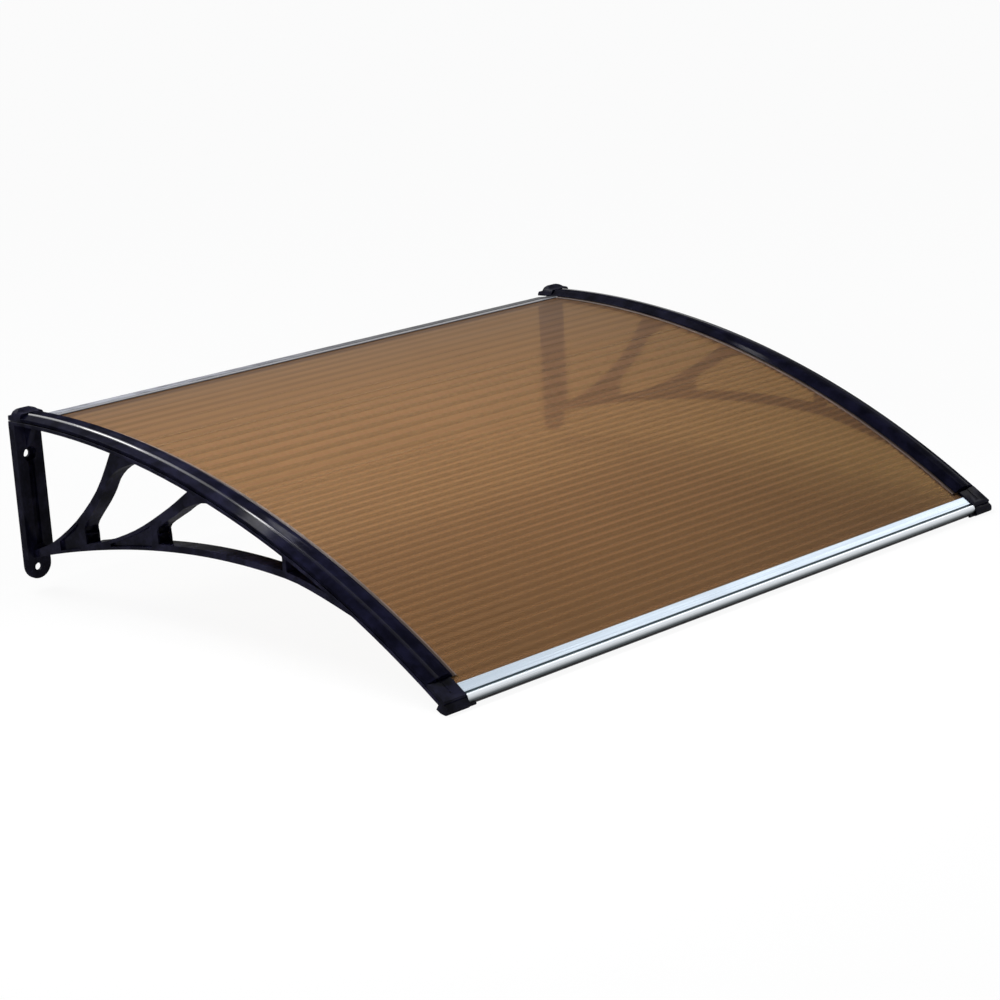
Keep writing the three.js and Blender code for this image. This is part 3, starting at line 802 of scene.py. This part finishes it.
@dataclass(frozen=True)
class Layout:
    """Sizes that several pieces share."""

    arc: Arc = field(default_factory=Arc)
    width: float = 1000.0
    gap: float = 0.3
    arm_width: float = 39.5
    sheet_top: float = -3.6
    sheet_thick: float = 3.6
    cap_length: float = 30.0
    cap_width: float = 34.0
    rear_cap_length: float = 28.0
    rear_lip: float = 44.0
    station: float = 8.0
    stations_across: int = 9

    @property
    def sheet_bottom(self) -> float:
        """Height of the sheet's lower face."""
        return self.sheet_top - self.sheet_thick

    @property
    def floor(self) -> float:
        """Height of the arm's upper face under the sheet."""
        return self.sheet_bottom - self.gap

    @property
    def base(self) -> float:
        """Height at which a piece lies on the sheet."""
        return self.sheet_top + self.gap

    def inward(self, side: Side, a: Array) -> Array:
        """X of what lies a millimetres in from a side's outer face."""
        return side.value * (self.width / 2 - np.asarray(a, float))

    def along_arc(self, side: Side, section: Array, s0: float, s1: float) -> MeshData:
        """A section of inset and height carried along the arc.

        Args:
            side: the side that insets are counted from.
            section: the section's points as inset a and height h.
            s0: arc length at the start.
            s1: arc length at the end.

        Returns:
            The closed mesh, with inset and arc length as its map.
        """
        stations = max(2, round((s1 - s0) / self.station))
        s = np.linspace(s0, s1, stations)[:, None]
        a, h = section[None, :, 0], section[None, :, 1]
        yz = self.arc.point(s, h)
        x = np.broadcast_to(self.inward(side, a), yz.shape[:2])
        rings = np.concatenate([x[..., None], yz], axis=-1)
        along = np.stack(np.broadcast_arrays(a, s), axis=-1)
        return MeshData.loft(rings, along)

    def along_x(self, section: Array, profile: Array, inset: float) -> MeshData:
        """A section carried from one side to the other.

        Args:
            section: the section's points in its own two coordinates, the second a height.
            profile: the same points as y and z.
            inset: how far its ends stay from the outer faces.

        Returns:
            The closed mesh, with the section's height and first coordinate as its map.
        """
        half = self.width / 2 - inset
        x = np.linspace(-half, half, self.stations_across)
        shape = (len(x), len(profile))
        xs = np.broadcast_to(x[:, None], shape)
        yz = np.broadcast_to(profile[None], (*shape, 2))
        rings = np.concatenate([xs[..., None], yz], axis=-1)
        return MeshData.loft(rings, np.broadcast_to(section[None, :, ::-1], (*shape, 2)))

    def front_piece(self, profile: Sequence[Sequence[float]], radius: float) -> MeshData:
        """A piece that runs along X between the front caps.

        Args:
            profile: its corners as arc length past the front end and height over the arc.
            radius: how far each corner is cut back.

        Returns:
            The closed mesh.
        """
        section = rounded(profile, radius)
        yz = self.arc.point(self.arc.front + section[:, 0], section[:, 1])
        return self.along_x(section, yz, self.cap_width + self.gap)

    def wall_piece(self, profile: Sequence[Sequence[float]], radius: float) -> MeshData:
        """A piece that runs along X between the arms.

        Args:
            profile: its corners as y and height over the arc.
            radius: how far each corner is cut back.

        Returns:
            The closed mesh.
        """
        section = rounded(profile, radius)
        yz = np.c_[section[:, 0], self.arc.height(section[:, 0], section[:, 1])]
        return self.along_x(section, yz, self.arm_width + self.gap)


class Workshop:
    """Holds the finishes, and sets each piece up on the frame."""

    def __init__(self, finishes: dict[Slot, Material]) -> None:
        """Takes the material of each slot."""
        self.finishes = finishes

    def dress(
        self,
        made: bpy.types.Object,
        slot: Slot,
        node: str,
        finish: Material | None = None,
    ) -> None:
        """Gives a new piece its finish and its body, and hides the CAD node that it stands for.

        Args:
            made: the new piece.
            slot: the material slot it belongs to.
            node: the CAD node it replaces.
            finish: its material, if it is not the slot's own.
        """
        made.data.materials.clear()
        made.data.materials.append(finish or self.finishes[slot])
        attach(made, "root")
        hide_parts(node)
        LOG.info("%s: %d faces for %s", made.name, len(made.data.polygons), node)

    def keep(self, node: str, slot: Slot) -> None:
        """Gives a CAD node that stays in sight its finish.

        Args:
            node: the CAD node.
            slot: the material slot it belongs to.
        """
        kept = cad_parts[node]
        kept.data.materials.clear()
        kept.data.materials.append(self.finishes[slot])
        LOG.info("%s: kept from the frame", node)


@dataclass
class SheetPanel:
    """The twin-wall sheet: two skins with ribs between them, open at both side edges."""

    layout: Layout
    skin: float = 0.7
    flute_pitch: float = 12.0
    side_inset: float = 7.0
    rear_inset: float = 34.0
    front_inset: float = 7.0
    top_share: float = 0.68
    under_share: float = 0.285
    rib_share: float = 0.17

    @property
    def start(self) -> float:
        """Arc length at the rear edge."""
        return self.layout.arc.length(-self.rear_inset)

    @property
    def end(self) -> float:
        """Arc length at the front edge."""
        return self.layout.arc.front - self.front_inset

    @property
    def count(self) -> int:
        """Number of flutes."""
        return round((self.end - self.start) / self.flute_pitch)

    @property
    def pitch(self) -> float:
        """Exact pitch of the flutes."""
        return (self.end - self.start) / self.count

    def mesh(self) -> MeshData:
        """The sheet as one closed body with a tunnel for each flute.

        The section has the rib marks on the upper and lower faces, then the four corners of
        each flute. Each edge of the section becomes one long face, and the skins and ribs close
        the two ends.

        Returns:
            The sheet's mesh, with X and arc length as its map.
        """
        n = self.count
        high, low = self.layout.sheet_top, self.layout.sheet_bottom
        marks = self.start + self.pitch * np.arange(n + 1)
        rear, fore = marks[:-1] + self.skin / 2, marks[1:] - self.skin / 2
        inner_high, inner_low = high - self.skin, low + self.skin
        s = np.concatenate([marks, marks, rear, fore, rear, fore])
        h = np.repeat(
            [high, low, inner_high, inner_high, inner_low, inner_low], [n + 1, n + 1, n, n, n, n]
        )
        size = len(s)
        top = np.arange(n + 1)
        bottom = top + n + 1
        top_rear, top_fore, low_rear, low_fore = (
            2 * (n + 1) + k * n + np.arange(n) for k in range(4)
        )
        edges = np.concatenate(
            [
                np.c_[top[:-1], top[1:]],
                np.c_[bottom[1:], bottom[:-1]],
                [[top[-1], bottom[-1]], [bottom[0], top[0]]],
                np.c_[top_fore, top_rear],
                np.c_[top_rear, low_rear],
                np.c_[low_rear, low_fore],
                np.c_[low_fore, top_fore],
            ]
        )
        sides = np.c_[edges, edges[:, ::-1] + size]
        fours = np.concatenate(
            [
                np.c_[top[:-1], top_rear, top_fore, top[1:]],
                np.c_[bottom[:-1], bottom[1:], low_fore, low_rear],
                np.c_[top_fore[:-1], low_fore[:-1], low_rear[1:], top_rear[1:]],
                [[top[0], bottom[0], low_rear[0], top_rear[0]]],
                [[top_fore[-1], low_fore[-1], bottom[-1], top[-1]]],
            ]
        )
        threes = np.concatenate(
            [
                np.c_[top[1:-1], top_fore[:-1], top_rear[1:]],
                np.c_[bottom[1:-1], low_rear[1:], low_fore[:-1]],
            ]
        )
        faces = sides.tolist()
        for cap in (fours, threes):
            faces += cap.tolist() + (cap[:, ::-1] + size).tolist()
        half = self.layout.width / 2 - self.side_inset
        x = np.repeat([-half, half], size)
        yz = np.tile(self.layout.arc.point(s, h), (2, 1))
        return MeshData(np.c_[x, yz], faces, np.c_[x, np.tile(s, 2)])

    def bronze(self, name: str, share: float) -> Material:
        """A finish with its bands over the ribs and a given share of body colour."""
        return BronzeSheet(name, share, self.pitch * MM, self.start * MM).material()

    def finish(self) -> Material:
        """The top skin's material."""
        return self.bronze("bronze_skin", self.top_share)

    def build(self, shop: Workshop) -> None:
        """Makes the sheet, whose top skin holds most of the colour and whose rib walls are clear.

        The faces come in this order: the outer skin above and the one below, the two edges, and
        then the flutes' skins above, walls behind, skins below and walls in front.

        Args:
            shop: the finishes.
        """
        made = self.mesh().object("sheet_panel")
        shop.dress(made, Slot.SHEET, "sheet")
        for name, share in (("bronze_under", self.under_share), ("bronze_rib", self.rib_share)):
            made.data.materials.append(self.bronze(name, share))
        n = self.count
        top, under, rib = range(3)
        kind = np.full(len(made.data.polygons), under, np.int32)
        kind[:n] = top
        kind[3 * n + 2 : 4 * n + 2] = rib
        kind[5 * n + 2 : 6 * n + 2] = rib
        made.data.polygons.foreach_set("material_index", kind)


@dataclass
class EdgeTrim:
    """The cover strip along an arm and the soft lip that it holds against the sheet."""

    layout: Layout
    side: Side
    skirt: float = -3.9
    rise: float = 5.9
    bead: float = 13.8
    sheet_inset: float = 6.5
    lip_thick: float = 0.8
    lip_reach: float = 6.5
    tuck: float = 6.0
    cover_round: float = 1.3
    lip_round: float = 0.4

    def cover(self) -> MeshData:
        """The strip's section along the arc: outer skirt, slope, bead, crown and inner slope.

        Returns:
            The closed mesh.
        """
        lay = self.layout
        inner = lay.arm_width
        rebate = lay.base + self.lip_thick + 2 * lay.gap
        slope = [
            [0, self.skirt], [0, -0.8], [0.3, -0.1], [1, 0.4],
            [self.bead - 2.5, 3.6], [self.bead - 2.1, 4.1], [self.bead - 0.2, 5.1],
            [self.bead + 1.3, 4.9], [self.bead + 2.2, 4.3],
            [inner - 17.5, self.rise - 0.5], [inner - 14.5, self.rise],
            [inner - 11.5, self.rise - 0.2], [inner - 8.5, self.rise - 1.2],
            [inner - 5.5, self.rise - 3.2], [inner - 2.5, self.rise - 5.6],
            [inner - 0.5, self.rise - 7.1],
        ]
        under = [
            [inner, rebate], [inner - self.tuck, rebate], [inner - self.tuck, lay.base],
            [self.sheet_inset, lay.base], [self.sheet_inset, self.skirt],
        ]
        section = rounded(slope + under, self.cover_round)
        start = lay.arc.wall + lay.rear_cap_length + lay.gap
        return lay.along_arc(self.side, section, start, lay.arc.front - lay.cap_length - lay.gap)

    def lip(self) -> MeshData:
        """The lip's section along the arc: a flat root under the cover and a swollen tip.

        Returns:
            The closed mesh.
        """
        lay = self.layout
        base, tip = lay.base, lay.arm_width + self.lip_reach
        high, root = base + self.lip_thick, lay.arm_width - self.tuck + lay.gap
        profile = [
            [root, base], [root, high], [lay.arm_width + 1, high],
            [tip - 3, high + 0.4], [tip - 1, high + 0.4], [tip, base + 0.2], [tip - 0.3, base],
        ]
        section = rounded(profile, self.lip_round)
        start = lay.arc.wall + lay.rear_lip + 1
        return lay.along_arc(self.side, section, start, lay.arc.front - lay.cap_length - lay.gap)

    def build(self, shop: Workshop) -> None:
        """Makes the strip and its lip.

        Args:
            shop: the finishes.
        """
        word = self.side.word
        black = BlackMoulding(
            f"black_cover_{word}",
            self.bead * MM,
            dark=(0.0030, 0.0030, 0.0075),
            pale=(0.0080, 0.0080, 0.0220),
            gloss=0.025,
            gloss_rough=0.12,
        )
        strip = self.cover().object(f"cover_strip_{word}")
        shop.dress(strip, Slot.PLASTIC, f"cover_{word}", black.material())
        shop.dress(self.lip().object(f"seal_lip_{word}"), Slot.VINYL, f"seal_{word}")


@dataclass
class FrontEdge:
    """The front rail with its groove and rounded nose, and the soft strip under it."""

    layout: Layout
    lip: float = 19.5
    lip_thick: float = 1.9
    slot_depth: float = 7.0
    rail_round: float = 1.2
    strip_round: float = 0.5

    def rail(self) -> MeshData:
        """The rail's profile along X.

        Returns:
            The closed mesh.
        """
        lay = self.layout
        low = lay.base
        high = low + self.lip_thick
        slot = -self.slot_depth + lay.gap
        profile = [
            [-self.lip, low], [-self.lip, high - 0.5], [-self.lip + 0.5, high],
            [-5.6, high], [-5.3, high - 0.4], [-5.2, high - 1.9], [-2.6, high - 1.9],
            [-2.5, high], [-1.6, high + 0.7], [0.2, high + 0.7], [2.2, high - 0.4],
            [4, high - 2.2], [5.4, high - 4.4], [5.8, high - 5.6], [5.6, high - 6.2],
            [5, high - 6.5], [-3, lay.floor - 2.6], [-self.lip + 1, lay.floor - 1.7],
            [-self.lip + 1, lay.floor], [slot, lay.floor], [slot, low],
        ]
        return lay.front_piece(profile, self.rail_round)

    def strip(self) -> MeshData:
        """The soft strip's profile along X.

        Returns:
            The closed mesh.
        """
        lay = self.layout
        high = lay.base + self.lip_thick
        profile = [
            [-2.6, lay.floor - 3], [5, high - 6.82], [5.9, high - 7.1], [6.2, high - 8.8],
            [5.4, high - 11.4], [4.4, high - 12], [-1.6, lay.floor - 5],
        ]
        return lay.front_piece(profile, self.strip_round)

    def build(self, shop: Workshop) -> None:
        """Makes the rail and the strip."""
        shop.dress(self.rail().object("front_edge_rail"), Slot.ALUMINIUM, "front_rail")
        shop.dress(self.strip().object("front_drip_strip"), Slot.RUBBER, "drip_strip")


@dataclass
class WallEdge:
    """The rear rail against the wall and the rubber strip on its slope."""

    layout: Layout
    lip_thick: float = 1.4
    sheet_rear: float = 34.0
    strip: float = 36.0
    fall: float = 4.6
    rail_round: float = 0.25
    rubber_round: float = 0.3

    def slope(self, y: float) -> float:
        """Height of the rail's sloping top at a distance y from the wall."""
        front = self.layout.sheet_top + self.lip_thick - 0.4
        return front - self.fall * (1 + y / self.strip)

    def rail(self) -> MeshData:
        """The rail's profile along X.

        Returns:
            The closed mesh.
        """
        lay = self.layout
        high = lay.base + self.lip_thick
        under = lay.floor - 3
        slot = -self.sheet_rear + lay.gap
        step = -self.strip - lay.gap
        profile = [
            [0, under], [-self.sheet_rear, under], [-lay.rear_lip, lay.floor - 1.8],
            [-lay.rear_lip, lay.floor], [slot, lay.floor], [slot, lay.base],
            [-lay.rear_lip, lay.base], [-lay.rear_lip, high - 0.5],
            [-lay.rear_lip + 0.5, high], [step, high], [step, self.slope(step)],
            [0, self.slope(0)],
        ]
        return lay.wall_piece(profile, self.rail_round)

    def rubber(self) -> MeshData:
        """The rubber strip's profile along X.

        Returns:
            The closed mesh.
        """
        lay = self.layout
        rear, front = -0.2, -self.strip
        foot_rear, foot_front = (self.slope(y) + lay.gap for y in (rear, front))
        profile = [
            [rear, foot_rear], [front, foot_front], [front, foot_front + 0.4],
            [front + 0.6, foot_front + 0.7], [rear, foot_rear + 1],
        ]
        return lay.wall_piece(profile, self.rubber_round)

    def build(self, shop: Workshop) -> None:
        """Makes the rail and its strip.

        Args:
            shop: the finishes.
        """
        # The rail at the wall gets a darker copy of the aluminium: painted shade.
        dull = SatinAluminium("shaded_aluminium_copy", pale=(0.20, 0.20, 0.22), dull=(0.15, 0.15, 0.17))
        # This rubber gets a strong painted reflection, pale towards -X.
        reflecting_rubber = MattRubber(
            "rubber_with_painted_reflection",
            dark=(0.010, 0.010, 0.013),
            bloom=(0.030, 0.029, 0.036),
            painted_reflection=(0.30, 0.31, 0.36),
            painted_reflection_span=(-0.35, 0.2),
        )
        rail, strip = self.rail().object("wall_edge_rail"), self.rubber().object("wall_rubber")
        shop.dress(rail, Slot.ALUMINIUM, "rear_rail", dull.material())
        shop.dress(strip, Slot.RUBBER, "wall_strip", reflecting_rubber.material())


@dataclass
class Moulding:
    """A moulded piece whose shape is the frame's, with its edges softened."""

    node: str
    name: str
    edge: float
    finish: Material | None = None
    sharp: float = 30.0
    weld: float = 1e-6
    flat: float = 0.5
    bend: float = 38.0

    def build(self, shop: Workshop) -> None:
        """Copies the node's mesh, welds its loose triangles and rounds edges past the bend.

        Args:
            shop: the finishes.
        """
        mesh = bpy.data.meshes.new(self.name)
        work = bmesh.new()
        work.from_mesh(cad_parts[self.node].data)
        bmesh.ops.remove_doubles(work, verts=work.verts, dist=self.weld)
        bmesh.ops.dissolve_limit(
            work, angle_limit=math.radians(self.flat), verts=work.verts, edges=work.edges
        )
        work.to_mesh(mesh)
        work.free()
        made = linked(self.name, mesh, self.sharp)
        bevel = made.modifiers.new("soft_edges", "BEVEL")
        bevel.width = self.edge * MM
        bevel.segments = 2
        bevel.limit_method = "ANGLE"
        bevel.angle_limit = math.radians(self.bend)
        bevel.harden_normals = True
        shop.dress(made, Slot.PLASTIC, self.node, self.finish)


@dataclass
class Bracket:
    """One end of the canopy: the moulded bracket, its caps, its trim and its clamp screws."""

    layout: Layout
    side: Side
    edge: float = 0.7
    cap_edge: float = 0.8
    screws: tuple[str, ...] = ("rear_cap", "cover_1", "cover_2", "cover_3", "cover_4", "front_cap")

    def build(self, shop: Workshop) -> None:
        """Makes the end's pieces.

        Args:
            shop: the finishes.
        """
        word = self.side.word
        shiny = BlackMoulding(
            f"black_cap_{word}",
            dark=(0.0030, 0.0030, 0.0080),
            pale=(0.0085, 0.0085, 0.0240),
            gloss=0.12,
        ).material()
        Moulding(f"bracket_{word}", f"bracket_moulding_{word}", self.edge).build(shop)
        Moulding(f"front_cap_{word}", f"front_end_cap_{word}", self.cap_edge, shiny).build(shop)
        Moulding(f"rear_cap_{word}", f"wall_end_cap_{word}", self.cap_edge).build(shop)
        EdgeTrim(self.layout, self.side).build(shop)
        for place in self.screws:
            shop.keep(f"screw_{word}_{place}", Slot.STEEL)


@dataclass(frozen=True)
class Panel:
    """A rectangular lamp: its sides, how bright it looks, where it stands and what it faces."""

    name: str
    size: Range
    bright: float
    at: Point
    towards: Point
    spread: float = 180.0

    def light(self) -> bpy.types.Light:
        """The lamp's data, whose power is pi times its area times its brightness.

        Returns:
            The data.
        """
        made = bpy.data.lights.new(self.name, "AREA")
        made.shape = "RECTANGLE"
        made.spread = math.radians(self.spread)
        made.size, made.size_y = self.size
        made.energy = math.pi * self.size[0] * self.size[1] * self.bright
        return made


@dataclass
class Studio:
    """A pale floor, soft light from over the wall and a camera in front on the left."""

    floor_colour: Colour = (0.55, 0.55, 0.55)
    floor_seen: Colour = (0.97, 0.97, 0.97)
    floor_white: float = 0.93
    floor_through: float = 0.2
    floor_half: float = 30.0
    floor_gap: float = 0.0005
    sky: Colour = (0.86, 0.93, 1.0)
    ambient: float = 0.16
    sun_towards: Point = (0.02, 0.74, 0.67)
    sun_strength: float = 1.65
    sun_angle: float = 50.0
    sun_away: float = 4.0
    softbox: Panel = Panel("softbox", (0.4, 1.7), 2.2, (2.1, -0.8, 1.5), (0.3, -0.8, -0.2))
    strip: Panel = Panel("strip", (0.7, 0.5), 14.0, (-0.49, 1.62, 1.86), (-0.3, -0.2, 0.0))
    pool: Panel = Panel("pool", (1.4, 0.1), 16.5, (-0.4, -0.05, 1.0), (-0.4, -0.7, 0.0), 80.0)
    lens: float = 91.285
    camera_at: Point = (-2.2226, -2.7333, 0.6992)
    azimuth: float = -43.323
    elevation: float = 14.822
    roll: float = -3.468
    sensor: float = 36.0
    sight: float = 200.0

    @staticmethod
    def seen(graph: Graph) -> Value:
        """Tells the rays that look from those that carry light.

        Args:
            graph: the graph that asks.

        Returns:
            1 on rays from the camera and on mirrored or bent ones, else 0.
        """
        path = graph.node("ShaderNodeLightPath").outputs
        camera, mirrored, bent = (
            Value(graph, path[f"Is {kind} Ray"]) for kind in ("Camera", "Glossy", "Transmission")
        )
        return camera.largest(mirrored).largest(bent)

    def floor(self, z: float) -> None:
        """A wide floor that looks white and keeps the object's shadow.

        Where it shows through the sheet, the lamps count for more and its white for less.

        Args:
            z: the floor's height in metres.
        """
        half = self.floor_half
        corners = [(-half, -half, z), (half, -half, z), (half, half, z), (-half, half, z)]
        mesh = bpy.data.meshes.new("floor")
        mesh.from_pydata(corners, [], [[0, 1, 2, 3]])
        made = added("floor", mesh)
        graph = Graph(bpy.data.materials.new("pale_floor"))
        seen = self.seen(graph)
        tone = graph.mixed(seen, self.floor_colour, self.floor_seen)
        matt = graph.node("ShaderNodeBsdfDiffuse", None, {"Color": tone})
        white = graph.node("ShaderNodeEmission", None, {"Strength": 1.0})
        path = graph.node("ShaderNodeLightPath").outputs
        through = Value(graph, path["Transparent Depth"])
        share = seen * through.ramp(0.0, 1.0, self.floor_white, self.floor_through)
        graph.end(graph.blend(share, matt.outputs[0], white.outputs[0]))
        mesh.materials.append(graph.owner)

    def light(self) -> None:
        """An even sky, a soft sun over the wall, and lamps at the right, behind and above."""
        graph = Graph(bpy.data.worlds.new("studio"))
        bpy.context.scene.world = graph.owner
        sky = {"Color": opaque(self.sky), "Strength": self.ambient}
        dim = graph.node("ShaderNodeBackground", None, sky)
        plain = {"Color": (1.0, 1.0, 1.0, 1.0), "Strength": 1.0}
        white = graph.node("ShaderNodeBackground", None, plain)
        both = graph.blend(self.seen(graph), dim.outputs[0], white.outputs[0])
        graph.end(both, "ShaderNodeOutputWorld")
        sun = bpy.data.lights.new("sun", "SUN")
        sun.energy = self.sun_strength
        sun.angle = math.radians(self.sun_angle)
        self.lamp(sun, Vector(self.sun_towards) * self.sun_away, Vector())
        for panel in (self.softbox, self.strip, self.pool):
            self.lamp(panel.light(), Vector(panel.at), Vector(panel.towards))

    @staticmethod
    def lamp(light: bpy.types.Light, at: Vector, towards: Vector) -> None:
        """Places a lamp.

        Args:
            light: the lamp's data.
            at: where it stands.
            towards: the point it shines at.
        """
        made = added(light.name, light)
        made.location = at
        made.rotation_mode = "QUATERNION"
        made.rotation_quaternion = (at - towards).to_track_quat("Z", "Y")

    def camera(self) -> None:
        """The camera, turned by its azimuth and elevation and then rolled about its axis."""
        az, el, roll = (math.radians(x) for x in (self.azimuth, self.elevation, self.roll))
        back = Vector((math.sin(az) * math.cos(el), -math.cos(az) * math.cos(el), math.sin(el)))
        right = Vector((math.cos(az), math.sin(az), 0.0))
        up = back.cross(right)
        level = right * math.cos(roll) + up * math.sin(roll)
        upright = up * math.cos(roll) - right * math.sin(roll)
        data = bpy.data.cameras.new("view")
        data.sensor_width = self.sensor
        data.lens = self.lens
        data.clip_end = self.sight
        made = added("view", data)
        turn = Matrix((level, upright, back)).transposed().to_4x4()
        made.matrix_world = Matrix.Translation(self.camera_at) @ turn
        bpy.context.scene.camera = made

    def build(self) -> None:
        """Sets the stage under the object."""
        scene = bpy.context.scene
        scene.view_settings.view_transform = "Standard"
        self.floor(CAD_BOX[0].z - self.floor_gap)
        self.light()
        self.camera()


def main() -> None:
    """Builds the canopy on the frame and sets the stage."""
    logging.basicConfig(level=logging.INFO, format="%(message)s")
    layout = Layout()
    panel = SheetPanel(layout)
    shop = Workshop(
        {
            Slot.SHEET: panel.finish(),
            Slot.PLASTIC: BlackMoulding("black_moulding").material(),
            Slot.ALUMINIUM: SatinAluminium("satin_aluminium").material(),
            Slot.RUBBER: MattRubber("matt_rubber").material(),
            Slot.VINYL: MilkyVinyl().material(),
            Slot.STEEL: ZincSteel().material(),
        }
    )
    panel.build(shop)
    FrontEdge(layout).build(shop)
    WallEdge(layout).build(shop)
    for side in Side:
        Bracket(layout, side).build(shop)
    Studio().build()


if __name__ == "__main__":
    main()
